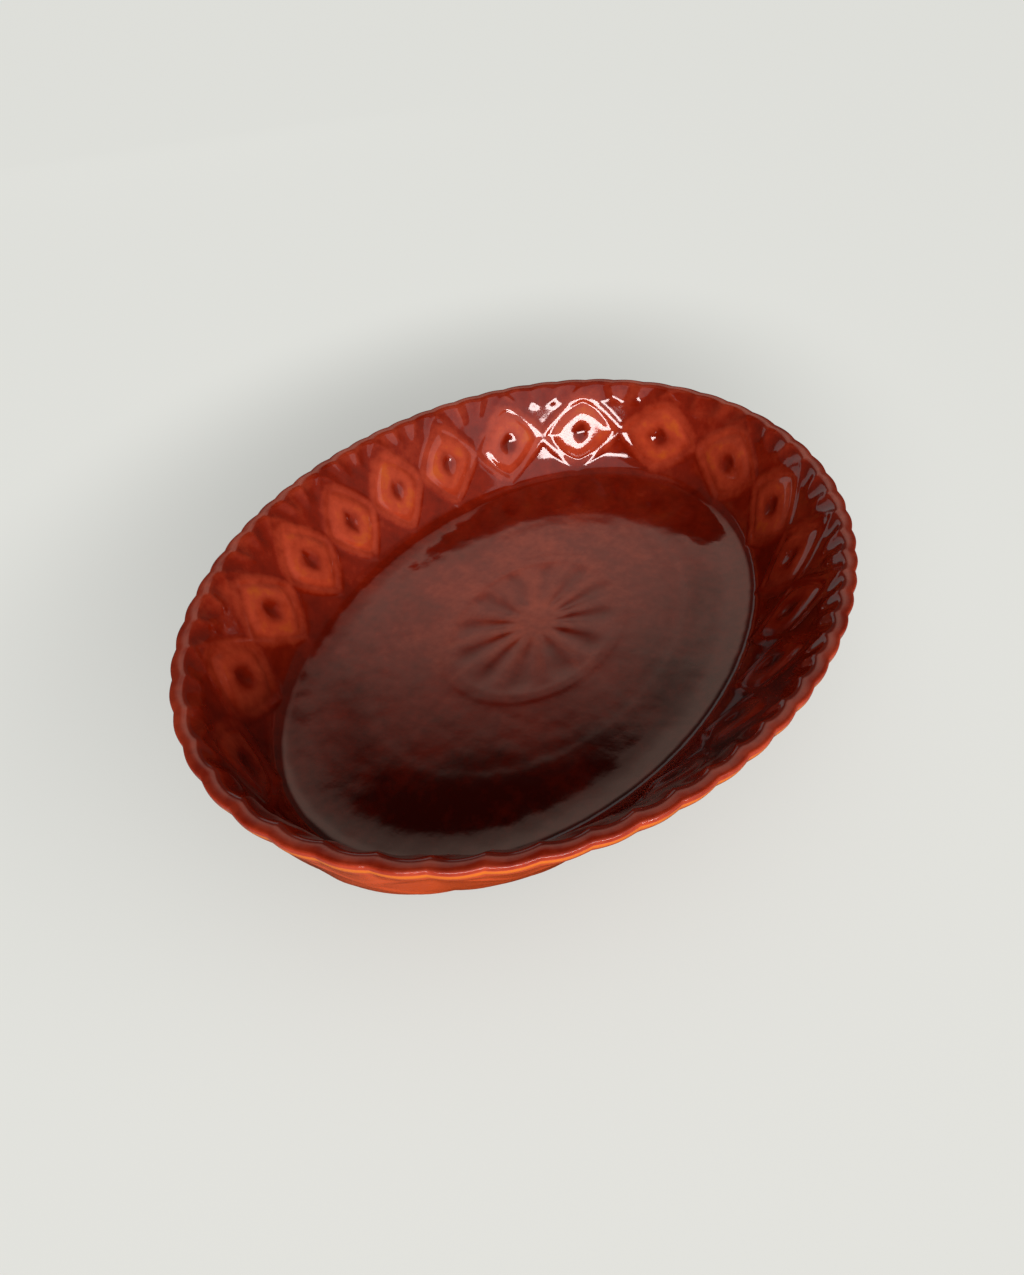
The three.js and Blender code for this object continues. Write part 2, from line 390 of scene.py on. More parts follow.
def lay_faces(rings, closed):
    """Faces between each ring and the next. Where the number of columns halves, a quad and a triangle
    take the place of two quads."""
    starts = np.cumsum([0] + [len(ring.points) for ring in rings])
    pairs = [(i, i + 1) for i in range(len(rings) - 1)]
    if closed:
        pairs.append((len(rings) - 1, 0))
    faces = []
    for a, b in pairs:
        n, m = len(rings[a].points), len(rings[b].points)
        most = max(n, m)
        for j in range(most):
            a0, a1 = starts[a] + j * n // most, starts[a] + (j + 1) * n // most % n
            b0, b1 = starts[b] + j * m // most, starts[b] + (j + 1) * m // most % m
            faces.append(tuple(dict.fromkeys((int(a0), int(b0), int(b1), int(a1)))))
    return faces


def make_mesh(name, rings, closed=False):
    """A closed mesh of the given rings, with the attributes that the relief reads."""
    points = np.concatenate([ring.points for ring in rings])
    values = np.concatenate([ring.values for ring in rings]).astype(np.float32)
    mesh = bpy.data.meshes.new(name)
    mesh.from_pydata(points.tolist(), [], lay_faces(rings, closed))
    for index, key in enumerate(POINT_VALUES):
        layer = mesh.attributes.new(key, "FLOAT", "POINT")
        layer.data.foreach_set("value", np.ascontiguousarray(values[:, index]))
    lift = mesh.attributes.new("lift", "FLOAT_VECTOR", "POINT")
    lift.data.foreach_set("vector", np.ascontiguousarray(values[:, len(POINT_VALUES):]).ravel())
    return mesh


def thin_out(rows, every):
    """Every so-many rows of a section, with its first and last."""
    kept = list(range(0, len(rows), every))
    if kept[-1] != len(rows) - 1:
        kept.append(len(rows) - 1)
    return rows[kept]


def rings_of_coat(rows, first_turn, thickness, inner, outer, columns):
    """Rings of a coat of glaze, along its face and back under it."""
    back_rows = thin_out(rows, 3)
    coarse = np.full(len(back_rows), COARSE_COLUMNS)
    back = rings_of(back_rows, first_turn, thickness, inner, outer, coarse)
    return rings_of(rows, first_turn, 0, inner, outer, columns) + back[::-1]


# Relief

# Inputs of the relief's tree, each the value of the setting of that name
RELIEF_INPUTS = (
    "Lozenges", "Scallops", "Turn", "Scallop depth", "Scallop dip", "Lozenge rise", "Frame rise",
    "Flute rise", "Lobe depth", "Medallion length", "Medallion width", "Floor length", "Floor width",
    "Petals", "Petal depth", "Ring rise", "Waver",
)

# A lozenge is a pit in a broad ring, and a frame round them. Each has its roundness, 1 for straight sides
# and 2 for an ellipse, and how many times narrower and shorter it is than the lozenge. A section gives
# heights from the middle out, against shares of LOZENGE_REACH.
LOZENGE_REACH = 1.25
PIT = (1.5, 1.1, 0.85)
PIT_SECTION = (
    (0, 1), (0.06, 0.9), (0.11, 0.6), (0.16, 0.28), (0.2, 0.06), (0.25, 0), (1, 0),
)
RING = (1.45, 1, 1)
RING_SECTION = (
    (0, 1), (0.38, 1), (0.45, 0.94), (0.51, 0.74), (0.565, 0.42), (0.62, 0.14), (0.68, 0.02),
    (0.74, 0), (1, 0),
)
# Share of thin glaze on the ring, which runs off it into the pit and the hollow round it
THIN_SECTION = (
    (0, 0), (0.15, 0.04), (0.23, 0.35), (0.3, 0.8), (0.37, 1), (0.5, 1), (0.62, 0.8),
    (0.72, 0.6), (0.8, 0.3), (0.88, 0), (1, 0),
)
FRAME = (1.15, 1, 1)
FRAME_SECTION = (
    (0, 0), (0.66, 0), (0.7, 0.3), (0.735, 0.85), (0.77, 1), (0.84, 1), (0.875, 0.8),
    (0.91, 0.25), (0.95, 0), (1, 0),
)
# Depth of the pit, as a share of the ring's height
PIT_DEPTH = 0.85
# Height over the lozenges' middles where the flutes are widest, in half lozenges, and the least share of it
FLUTE_TOP = 1.35
FLUTE_LEAST = 0.05
# Rings on the floor, against the share of their own oval's radius
FLOOR_REACH = 1.5
MEDALLION_SECTION = (
    (0, 0.5), (0.56, 0.5), (0.61, 0.62), (0.655, 0.88), (0.68, 0.88), (0.73, 0.6), (0.79, 0.5),
    (1, 0.5),
)
FLOOR_EDGE_SECTION = (
    (0, 0.5), (0.6, 0.5), (0.64, 0.46), (0.667, 0.54), (0.69, 0.62), (0.74, 0.57), (0.84, 0.5),
    (1, 0.5),
)
# Width of a petal from the middle of the rosette out, how full it is and how softly its edge fades
PETAL_SECTION = (
    (0, 0), (0.08, 0), (0.18, 0.5), (0.32, 1), (0.48, 1), (0.6, 0.5), (0.69, 0), (1, 0),
)
PETAL_FULLNESS = 1.8
PETAL_SOFTNESS = 0.8
# Place down from which the floor's relief and wear start
FLOOR_START = 1.5
# Depth of the glaze from the lip's edge to the middle of the floor
DEPTH_FROM, DEPTH_TO = -0.5, FLOOR_MIDDLE
DEPTH_SECTION = (
    (0, 0.44), (0.06, 0.46), (0.1, 0.6), (0.2, 0.62), (0.4, 0.64), (0.48, 0.68), (0.6, 0.7),
    (0.75, 0.58), (1, 0.34),
)
# Places down over which it thins to the lip's edge
EDGE_START, EDGE_END = -0.385, -0.42
# Painted shade: the glaze inside is made deeper, so darker, towards the near side, where the near wall shades
# the floor from the key light. Its direction, how far from the middle that starts and ends, and how much
# deeper it is there
NEAR_SHADE_DIRECTION = (-0.6, -0.8, 0)
NEAR_SHADE_START, NEAR_SHADE_END, NEAR_SHADE_DEPTH = -30 * MM, 110 * MM, 0.32
# Place down from which the floor is worn all over
WORN_FLOOR = 2.1
# Share of the outside's lobes, from the lip to the foot, and how high the seams in them stand
LOBE_FROM, LOBE_TO = -0.5, 1.75
LOBE_SECTION = ((0, 0), (0.1, 0.05), (0.25, 0.5), (0.4, 1), (0.65, 1), (0.82, 0.5), (1, 0))
SEAM_SHARE = 0.2
# Size of the swells in the hand-pressed clay
WAVER_SIZE = 40 * MM


def set_curve(node, points):
    """Gives a Float Curve node its points, with a smooth line between them, and returns it."""
    curve = node.mapping.curves[0]
    for x, y in points[1:-1]:
        curve.points.new(x, y)
    curve.points[0].location = points[0]
    curve.points[-1].location = points[-1]
    for point in curve.points:
        point.handle_type = "AUTO_CLAMPED"
    node.mapping.update()
    return node


def relief_tree(material):
    """Presses the scallops, lozenges, flutes, rosette and lobes. It leaves the depth of the glaze on the
    points, from 0 where it is thin to 1 where it pools, with painted shade added as deeper glaze towards the
    near side, and its wear."""
    tree = bpy.data.node_groups.new("Pressed relief", "GeometryNodeTree")
    tree.interface.new_socket("Geometry", in_out="INPUT", socket_type="NodeSocketGeometry")
    tree.interface.new_socket("Geometry", in_out="OUTPUT", socket_type="NodeSocketGeometry")
    for name in RELIEF_INPUTS:
        tree.interface.new_socket(name, in_out="INPUT", socket_type="NodeSocketFloat")
    given = add_node(tree, "NodeGroupInput").outputs
    turn, lip, down, inner, outer = (
        add_node(tree, "GeometryNodeInputNamedAttribute", {"Name": name}, data_type="FLOAT")
        for name in POINT_VALUES
    )
    lift = add_node(tree, "GeometryNodeInputNamedAttribute", {"Name": "lift"}, data_type="FLOAT_VECTOR")
    place = add_node(tree, "GeometryNodeInputPosition")

    # Place in the ring of lozenges: across is 0 on a lozenge's axis and 1 where two of them meet, and
    # below is -1 at their top tips, 0 where they meet and 1 at their bottom tips
    phase = add_node(tree, MATHS, {0: turn, 1: given["Turn"]}, operation="SUBTRACT")
    phase = add_node(tree, MATHS, {0: phase, 1: given["Lozenges"]}, operation="MULTIPLY")
    across = add_node(tree, MATHS, {0: phase, 1: math.pi}, operation="DIVIDE")
    across = add_node(tree, MATHS, {0: across, 1: 1.0}, operation="PINGPONG")
    below = add_node(tree, MATHS, {0: down, 1: 2.0, 2: -1.0}, operation="MULTIPLY_ADD")

    # Rounded arches that meet in narrow notches: the lip's scallops, and the outside's lobes, which meet
    # behind each lozenge's axis
    arches = []
    for count in (given["Scallops"], 1.0):
        arch = add_node(tree, MATHS, {0: phase, 1: count}, operation="MULTIPLY")
        arch = add_node(tree, MATHS, {0: arch, 1: 0.5}, operation="MULTIPLY")
        arch = add_node(tree, MATHS, {0: arch}, operation="SINE")
        arches.append(add_node(tree, MATHS, {0: arch}, operation="ABSOLUTE"))
    scallop, lobe = arches
    notch = add_node(tree, MATHS, {0: 1.0, 1: scallop}, operation="SUBTRACT")
    notch = add_node(tree, MATHS, {0: notch, 1: lip}, operation="MULTIPLY")

    # Lozenges: a pit in a broad ring, a groove and a low frame
    from_middle = add_node(tree, MATHS, {0: below}, operation="ABSOLUTE")
    forms = []
    for (roundness, narrower, shorter), sections in (
        (PIT, (PIT_SECTION,)),
        (RING, (RING_SECTION, THIN_SECTION)),
        (FRAME, (FRAME_SECTION,)),
    ):
        side = add_node(tree, MATHS, {0: across, 1: narrower}, operation="MULTIPLY")
        side = add_node(tree, MATHS, {0: side, 1: roundness}, operation="POWER")
        tip = add_node(tree, MATHS, {0: from_middle, 1: shorter}, operation="MULTIPLY")
        tip = add_node(tree, MATHS, {0: tip, 1: roundness}, operation="POWER")
        reach = add_node(tree, MATHS, {0: side, 1: tip}, operation="ADD")
        reach = add_node(tree, MATHS, {0: reach, 1: 1 / roundness}, operation="POWER")
        share = add_node(tree, MATHS, {0: reach, 1: LOZENGE_REACH}, operation="DIVIDE")
        for section in sections:
            forms.append(set_curve(add_node(tree, CURVE, {"Value": share}), section))
    pit, ring, thin, frame = forms
    from_frame = reach
    ring = add_node(tree, MATHS, {0: pit, 1: -PIT_DEPTH, 2: ring}, operation="MULTIPLY_ADD")
    lozenge_height = add_node(tree, MATHS, {0: ring, 1: given["Lozenge rise"]}, operation="MULTIPLY")
    lozenge_height = add_node(
        tree, MATHS, {0: frame, 1: given["Frame rise"], 2: lozenge_height}, operation="MULTIPLY_ADD"
    )

    # Flutes: ridges that fan up from where two lozenges meet to the notches of the lip. They ease in
    # above the lozenges' shoulders and off the frames, and out again before the crest of the lip.
    fan = add_node(tree, MATHS, {0: 1.0, 1: across}, operation="SUBTRACT")
    above = add_node(tree, MATHS, {0: below, 1: -1 / FLUTE_TOP}, operation="MULTIPLY")
    above = add_node(tree, MATHS, {0: above, 1: FLUTE_LEAST}, operation="MAXIMUM")
    fan = add_node(tree, MATHS, {0: fan, 1: above}, operation="DIVIDE")
    fan = add_node(tree, MATHS, {0: fan, 1: given["Scallops"]}, operation="MULTIPLY")
    fan = add_node(tree, MATHS, {0: fan, 1: math.pi / 2}, operation="MULTIPLY")
    hollow = add_node(tree, MATHS, {0: fan}, operation="COSINE")
    hollow = add_node(tree, MATHS, {0: hollow}, operation="ABSOLUTE")
    flute = add_node(tree, MATHS, {0: 1.0, 1: hollow}, operation="SUBTRACT")
    for value, start, end in ((below, -0.7, -1.15), (from_frame, 0.95, 1.15), (down, -0.3, -0.16)):
        span = {"Value": value, "From Min": start, "From Max": end}
        ease = add_node(tree, RANGE, span, interpolation_type="SMOOTHSTEP")
        flute = add_node(tree, MATHS, {0: flute, 1: ease}, operation="MULTIPLY")
    flute_height = add_node(tree, MATHS, {0: flute, 1: given["Flute rise"]}, operation="MULTIPLY")

    # Floor: a ring round the rosette, a ring at the floor's edge, and leaf-shaped grooves between
    reaches = []
    for length, width in (("Medallion length", "Medallion width"), ("Floor length", "Floor width")):
        full_size = add_node(tree, "ShaderNodeCombineXYZ", {0: given[length], 1: given[width], 2: 1.0})
        within = add_node(tree, VECTORS, {0: place, 1: (2, 2, 0)}, operation="MULTIPLY")
        within = add_node(tree, VECTORS, {0: within, 1: full_size}, operation="DIVIDE")
        outward = add_node(tree, VECTORS, {0: within}, operation="LENGTH").outputs["Value"]
        share = add_node(tree, MATHS, {0: outward, 1: FLOOR_REACH}, operation="DIVIDE")
        reaches.append((within, share))
    (in_medallion, medallion_share), (_, floor_share) = reaches
    medallion_ring = set_curve(add_node(tree, CURVE, {"Value": medallion_share}), MEDALLION_SECTION)
    floor_ring = set_curve(add_node(tree, CURVE, {"Value": floor_share}), FLOOR_EDGE_SECTION)
    rings = add_node(tree, MATHS, {0: medallion_ring, 1: floor_ring}, operation="ADD")
    rings = add_node(tree, MATHS, {0: rings, 1: 2.0, 2: -2.0}, operation="MULTIPLY_ADD")
    rings = add_node(tree, MATHS, {0: rings, 1: given["Ring rise"]}, operation="MULTIPLY")
    petal_width = set_curve(add_node(tree, CURVE, {"Value": medallion_share}), PETAL_SECTION)
    sides = add_node(tree, "ShaderNodeSeparateXYZ", {0: in_medallion}).outputs
    petal = add_node(tree, MATHS, {0: sides[1], 1: sides[0]}, operation="ARCTAN2")
    petal = add_node(tree, MATHS, {0: petal, 1: given["Petals"]}, operation="MULTIPLY")
    petal = add_node(tree, MATHS, {0: petal}, operation="COSINE")
    petal = add_node(tree, MATHS, {0: petal, 1: 1.0}, operation="SUBTRACT")
    petal = add_node(tree, MATHS, {0: petal_width, 1: PETAL_FULLNESS, 2: petal}, operation="MULTIPLY_ADD")
    petal = add_node(tree, MATHS, {0: petal, 1: 0.0, 2: PETAL_SOFTNESS}, operation="SMOOTH_MAX")
    petal = add_node(tree, MATHS, {0: petal, 1: petal_width}, operation="MULTIPLY")
    petal_height = add_node(tree, MATHS, {0: petal, 1: given["Petal depth"]}, operation="MULTIPLY")
    floor_height = add_node(tree, MATHS, {0: rings, 1: petal_height}, operation="SUBTRACT")
    on_floor = add_node(tree, MATHS, {0: down, 1: FLOOR_START}, operation="GREATER_THAN")
    floor_height = add_node(tree, MATHS, {0: floor_height, 1: on_floor}, operation="MULTIPLY")

    # Outside: the lobes, with faint seams behind the frames
    lobe_share = add_node(tree, RANGE, {"Value": down, "From Min": LOBE_FROM, "From Max": LOBE_TO})
    lobe_share = set_curve(add_node(tree, CURVE, {"Value": lobe_share}), LOBE_SECTION)
    lobe = add_node(tree, MATHS, {0: lobe, 1: 1.0}, operation="SUBTRACT")
    lobe = add_node(tree, MATHS, {0: frame, 1: SEAM_SHARE, 2: lobe}, operation="MULTIPLY_ADD")
    lobe = add_node(tree, MATHS, {0: lobe, 1: lobe_share}, operation="MULTIPLY")
    lobe_height = add_node(tree, MATHS, {0: lobe, 1: given["Lobe depth"]}, operation="MULTIPLY")

    # Waver of the hand-pressed clay
    noise = add_node(tree, NOISE, {"Vector": place, "Scale": 1 / WAVER_SIZE, "Detail": 3.0, "Roughness": 0.4})
    waver = add_node(tree, MATHS, {0: noise, 1: 0.5}, operation="SUBTRACT")
    waver = add_node(tree, MATHS, {0: waver, 1: given["Waver"]}, operation="MULTIPLY")
    glazed = add_node(tree, MATHS, {0: inner, 1: outer}, operation="ADD")
    glazed = add_node(tree, MATHS, {0: glazed, 1: lip}, operation="SUBTRACT", use_clamp=True)
    waver = add_node(tree, MATHS, {0: waver, 1: glazed}, operation="MULTIPLY")

    # Move the points: the relief along the lift, the scallops level and down
    inside_height = add_node(tree, MATHS, {0: lozenge_height, 1: flute_height}, operation="ADD")
    inside_height = add_node(tree, MATHS, {0: inside_height, 1: floor_height}, operation="ADD")
    inside_height = add_node(tree, MATHS, {0: inside_height, 1: inner}, operation="MULTIPLY")
    height = add_node(tree, MATHS, {0: lobe_height, 1: outer, 2: inside_height}, operation="MULTIPLY_ADD")
    height = add_node(tree, MATHS, {0: height, 1: waver}, operation="ADD")
    lifted = add_node(tree, VECTORS, {0: lift, "Scale": height}, operation="SCALE")
    outward = add_node(tree, VECTORS, {0: place, 1: (1, 1, 0)}, operation="MULTIPLY")
    outward = add_node(tree, VECTORS, {0: outward}, operation="NORMALIZE")
    notch = add_node(tree, MATHS, {0: notch, 1: -1.0}, operation="MULTIPLY")
    inward = add_node(tree, MATHS, {0: notch, 1: given["Scallop depth"]}, operation="MULTIPLY")
    drawn = add_node(tree, VECTORS, {0: outward, "Scale": inward}, operation="SCALE")
    dip = add_node(tree, MATHS, {0: notch, 1: given["Scallop dip"]}, operation="MULTIPLY")
    dipped = add_node(tree, "ShaderNodeCombineXYZ", {2: dip})
    offset = add_node(tree, VECTORS, {0: lifted, 1: drawn}, operation="ADD")
    offset = add_node(tree, VECTORS, {0: offset, 1: dipped}, operation="ADD")

    # Depth of the glaze: it runs off what is raised and off the lip's edge, and pools in what is sunk.
    # Each change is a share of the deepest, for a whole form or a metre of height.
    place_down = add_node(tree, RANGE, {"Value": down, "From Min": DEPTH_FROM, "From Max": DEPTH_TO})
    depth = set_curve(add_node(tree, CURVE, {"Value": place_down}), DEPTH_SECTION)
    span = {"Value": down, "From Min": EDGE_START, "From Max": EDGE_END}
    edge = add_node(tree, RANGE, span, interpolation_type="SMOOTHSTEP")
    edge = add_node(tree, MATHS, {0: edge, 1: lip}, operation="MULTIPLY")
    thin = add_node(tree, MATHS, {0: thin, 1: inner}, operation="MULTIPLY")
    petal = add_node(tree, MATHS, {0: petal, 1: on_floor}, operation="MULTIPLY")
    for value, change in (
        (thin, -0.24), (inside_height, -0.1 / MM), (pit, 0.12), (petal, 0.06), (edge, -0.9),
    ):
        depth = add_node(tree, MATHS, {0: value, 1: change, 2: depth}, operation="MULTIPLY_ADD")
    # Painted shade: deeper, darker glaze inside towards the near side, where the near wall shades it
    painted_near_shade = add_node(tree, VECTORS, {0: place, 1: NEAR_SHADE_DIRECTION}, operation="DOT_PRODUCT").outputs["Value"]
    span = {"Value": painted_near_shade, "From Min": NEAR_SHADE_START, "From Max": NEAR_SHADE_END, "To Max": NEAR_SHADE_DEPTH}
    painted_near_shade = add_node(tree, RANGE, span, interpolation_type="SMOOTHSTEP")
    off_lip = add_node(tree, MATHS, {0: inner, 1: lip}, operation="SUBTRACT", use_clamp=True)
    depth = add_node(tree, MATHS, {0: painted_near_shade, 1: off_lip, 2: depth}, operation="MULTIPLY_ADD")

    # Wear: the floor is worn dull, and the lip half as much
    span = {"Value": down, "From Min": FLOOR_START, "From Max": WORN_FLOOR}
    wear = add_node(tree, RANGE, span, interpolation_type="SMOOTHSTEP")
    wear = add_node(tree, MATHS, {0: lip, 1: 0.5, 2: wear}, operation="MULTIPLY_ADD")
    geometry = given["Geometry"]
    for name, value in (("glaze_depth", depth), ("wear", wear)):
        geometry = add_node(
            tree,
            "GeometryNodeStoreNamedAttribute",
            {"Geometry": geometry, "Name": name, "Value": value},
            data_type="FLOAT",
            domain="POINT",
        )
    geometry = add_node(tree, "GeometryNodeSetPosition", {"Geometry": geometry, "Offset": offset})
    geometry = add_node(tree, "GeometryNodeRealizeInstances", {"Geometry": geometry})
    geometry = add_node(tree, "GeometryNodeSetMaterial", {"Geometry": geometry, "Material": material})
    add_node(tree, "NodeGroupOutput", {"Geometry": geometry})
    return tree


def press_relief(piece, settings, material):
    """Presses the relief into a piece and leaves it a plain mesh."""
    modifier = piece.modifiers.new("Pressed relief", "NODES")
    modifier.node_group = relief_tree(material)
    for socket in modifier.node_group.interface.items_tree:
        if socket.name in RELIEF_INPUTS:
            setting = socket.name.lower().replace(" ", "_")
            group = settings.relief if hasattr(settings.relief, setting) else settings.shape
            modifier[socket.identifier] = float(getattr(group, setting))
    bpy.context.view_layer.update()
    evaluated = piece.evaluated_get(bpy.context.evaluated_depsgraph_get())
    pressed = bpy.data.meshes.new_from_object(evaluated)
    piece.modifiers.remove(modifier)
    plain = piece.data
    piece.data = pressed
    bpy.data.meshes.remove(plain)
    pressed.name = piece.name
    for key in (*POINT_VALUES, "lift"):
        pressed.attributes.remove(pressed.attributes[key])
    pressed.shade_smooth()
    pressed.set_sharp_from_angle(angle=math.radians(50))


def add_piece(name, mesh):
    """Puts a mesh in the scene."""
    piece = bpy.data.objects.new(name, mesh)
    bpy.context.scene.collection.objects.link(piece)
    return piece


def finish_piece(piece, node):
    """Fixes a piece to the dish's one body, in place of its solid."""
    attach(piece, BODY)
    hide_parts(node)


# Materials

def new_material(name):
    """An empty material and its node tree."""
    material = bpy.data.materials.new(name)
    material.use_nodes = True
    tree = material.node_tree
    tree.nodes.clear()
    return material, tree


def glazed_earthenware(name, colours, outside):
    """Earthenware under a glossy iron-red lead glaze, dipped and fired. It looks wet and deep: dark where
    the glaze pools, amber to orange where it has run thin over an edge, with soft clouds of colour and a
    skin that is not quite flat, so that reflections waver."""
    material, tree = new_material(name)
    place = add_node(tree, "ShaderNodeTexCoord").outputs["Object"]
    depth = add_node(tree, "ShaderNodeAttribute", attribute_name="glaze_depth").outputs["Fac"]
    wear = add_node(tree, "ShaderNodeAttribute", attribute_name="wear").outputs["Fac"]

    # Clouds of uneven glaze, 20 mm and 5 mm across. The finer ones make the gloss uneven too.
    clouds = add_node(tree, NOISE, {"Vector": place, "Scale": 50.0, "Detail": 4.0, "Roughness": 0.6})
    fine = add_node(tree, NOISE, {"Vector": place, "Scale": 220.0, "Detail": 2.0, "Roughness": 0.5})
    shares = []
    for noise, low, high in ((clouds, -0.13, 0.13), (fine, -0.05, 0.05), (fine, 0.05, 0.09)):
        span = {"Value": noise, "From Min": 0.3, "From Max": 0.7, "To Min": low, "To Max": high}
        shares.append(add_node(tree, RANGE, span))
    cloudy, mottled, gloss = shares
    uneven = add_node(tree, MATHS, {0: cloudy, 1: mottled}, operation="ADD")
    depth = add_node(tree, MATHS, {0: depth, 1: uneven}, operation="ADD", use_clamp=True)
    gloss = add_node(tree, MATHS, {0: wear, 1: 0.08, 2: gloss}, operation="MULTIPLY_ADD")

    # Colour by the depth of the glaze, which also carries painted shade towards the near side of the inside
    ramp = add_node(tree, "ShaderNodeValToRGB", {"Fac": depth})
    middle, deep = (colours.outside, colours.amber) if outside else (colours.oxblood, colours.pooled)
    elements = ramp.color_ramp.elements
    elements[0].color = colours.thin
    elements[1].color = deep
    elements.new(0.26).color = colours.amber
    elements.new(0.6).color = middle

    # The skin of the glaze: swells about 12 mm across and a faint orange peel of 2 mm
    skin = {}
    for scale, height in ((85.0, 0.15 * MM), (500.0, 0.012 * MM)):
        noise = add_node(tree, NOISE, {"Vector": place, "Scale": scale, "Detail": 1.0})
        bump = {"Strength": 1.0, "Distance": height, "Height": noise, **skin}
        skin = {"Normal": add_node(tree, "ShaderNodeBump", bump)}
    look = {"Base Color": ramp, "Roughness": gloss, "IOR": 1.55, **skin}
    shader = add_node(tree, "ShaderNodeBsdfPrincipled", look)
    add_node(tree, "ShaderNodeOutputMaterial", {"Surface": shader})
    return material


def fired_clay(colours):
    """Bare red earthenware, pressed and fired. It is matt and slightly sandy, with a paler bloom."""
    material, tree = new_material("fired earthenware")
    place = add_node(tree, "ShaderNodeTexCoord").outputs["Object"]

    # Bloom in patches 17 mm across, over darker clay
    bloom = add_node(tree, NOISE, {"Vector": place, "Scale": 60.0, "Detail": 5.0, "Roughness": 0.6})
    ramp = add_node(tree, "ShaderNodeValToRGB", {"Fac": bloom})
    dark = [channel * 0.62 for channel in colours.clay[:3]] + [1.0]
    for element, position, colour in zip(ramp.color_ramp.elements, (0.3, 0.7), (dark, colours.clay)):
        element.position = position
        element.color = colour

    # Grit of 0.8 mm
    grit = add_node(tree, NOISE, {"Vector": place, "Scale": 1200.0, "Detail": 3.0})
    bump = add_node(tree, "ShaderNodeBump", {"Strength": 0.8, "Distance": 0.08 * MM, "Height": grit})
    look = {"Base Color": ramp, "Roughness": 0.85, "Normal": bump}
    shader = add_node(tree, "ShaderNodeBsdfPrincipled", look)
    add_node(tree, "ShaderNodeOutputMaterial", {"Surface": shader})
    return material


# Share of the pale floor that is its own light, what the camera's rays add and what mirrored ones lose
OWN_LIGHT, CAMERA_LIGHT, MIRROR_LOSS = 0.85, 0.07, 0.5
# Distance over which what stands on the floor darkens it
SHADE_REACH = 0.16
# Soft shadow behind the dish, away from the key: its middle and half sizes in metres
SHADOW_MIDDLE = (0.11, 0.12, 0.0)
SHADOW_SIZE = (0.23, 0.17, 1.0)


def studio_floor(colours):
    """Pale paper sweep. The camera sees it nearly even, with a soft shadow behind the dish, and the glaze
    mirrors it dimly, the more so close to the dish."""
    material, tree = new_material("pale paper")
    path = add_node(tree, "ShaderNodeLightPath").outputs
    by_camera = path["Is Camera Ray"]
    mirrored = add_node(
        tree, MATHS, {0: path["Is Glossy Ray"], 1: path["Is Transmission Ray"]}, operation="MAXIMUM"
    )
    share = add_node(tree, MATHS, {0: by_camera, 1: CAMERA_LIGHT, 2: OWN_LIGHT}, operation="MULTIPLY_ADD")
    share = add_node(tree, MATHS, {0: mirrored, 1: -MIRROR_LOSS, 2: share}, operation="MULTIPLY_ADD")
    open_sky = add_node(tree, "ShaderNodeAmbientOcclusion", {"Distance": SHADE_REACH}, samples=12)
    open_sky = open_sky.outputs["AO"]
    place = add_node(tree, "ShaderNodeTexCoord").outputs["Object"]
    behind = add_node(tree, VECTORS, {0: place, 1: SHADOW_MIDDLE}, operation="SUBTRACT")
    behind = add_node(tree, VECTORS, {0: behind, 1: SHADOW_SIZE}, operation="DIVIDE")
    behind = add_node(tree, VECTORS, {0: behind}, operation="LENGTH").outputs["Value"]

    # How light it is close to the dish, as the camera sees it and as the glaze mirrors it, and the shadow
    shades = []
    for value, start, end, first, last, steps in (
        (open_sky, 0.2, 0.9, 0.9, 1.03, "LINEAR"),
        (open_sky, 0.4, 0.95, 0.0, 0.45, "LINEAR"),
        (behind, 0.36, 1.74, 0.67, 1.0, "SMOOTHSTEP"),
    ):
        span = {"Value": value, "From Min": start, "From Max": end, "To Min": first, "To Max": last}
        shades.append(add_node(tree, RANGE, span, interpolation_type=steps))
    seen, reflected, shadow = shades
    seen = add_node(tree, MATHS, {0: seen, 1: shadow}, operation="MULTIPLY")
    strength = add_node(tree, "ShaderNodeMix", {0: by_camera, 2: 1.0, 3: seen}, data_type="FLOAT")
    strength = add_node(tree, "ShaderNodeMix", {0: mirrored, 2: strength, 3: reflected}, data_type="FLOAT")
    shade = add_node(tree, VECTORS, {0: colours.backdrop[:3], "Scale": strength}, operation="SCALE")
    paper = add_node(tree, "ShaderNodeBsdfDiffuse", {"Color": shade})
    glow = add_node(tree, "ShaderNodeEmission", {"Color": shade, "Strength": 1.0})
    mixed = add_node(tree, "ShaderNodeMixShader", {0: share, 1: paper, 2: glow})
    add_node(tree, "ShaderNodeOutputMaterial", {"Surface": mixed})
    return material


# Places down the dish where the wall's columns halve, and halve again on the flat floor, and the share of
# the scallops over which the outside has all its columns
WALL_END = 1.2
PETALS_END = 2.35
SCALLOPED = 0.1


# Operators

class DISH_OT_inner_glaze(bpy.types.Operator):
    """Builds the coat of glaze poured inside and over the lip"""

    bl_idname = "dish.inner_glaze"
    bl_label = "Inner glaze"

    def execute(self, context):
        settings = context.scene.dish
        shape, first_turn = settings.shape, settings.relief.turn
        rows = round_section(inside_section(shape))
        down = rows[:, DOWN]
        on_floor = np.where(down < PETALS_END, HALF_COLUMNS, COARSE_COLUMNS)
        columns = np.where(down < WALL_END, FULL_COLUMNS, on_floor)
        rings = rings_of_coat(rows, first_turn, shape.glaze_depth, 1, 0, columns)
        piece = add_piece("inner_coat", make_mesh("inner_coat", rings))
        press_relief(piece, settings, glazed_earthenware("oxblood glaze", settings.colours, outside=False))
        finish_piece(piece, "inner_glaze")
        return {"FINISHED"}


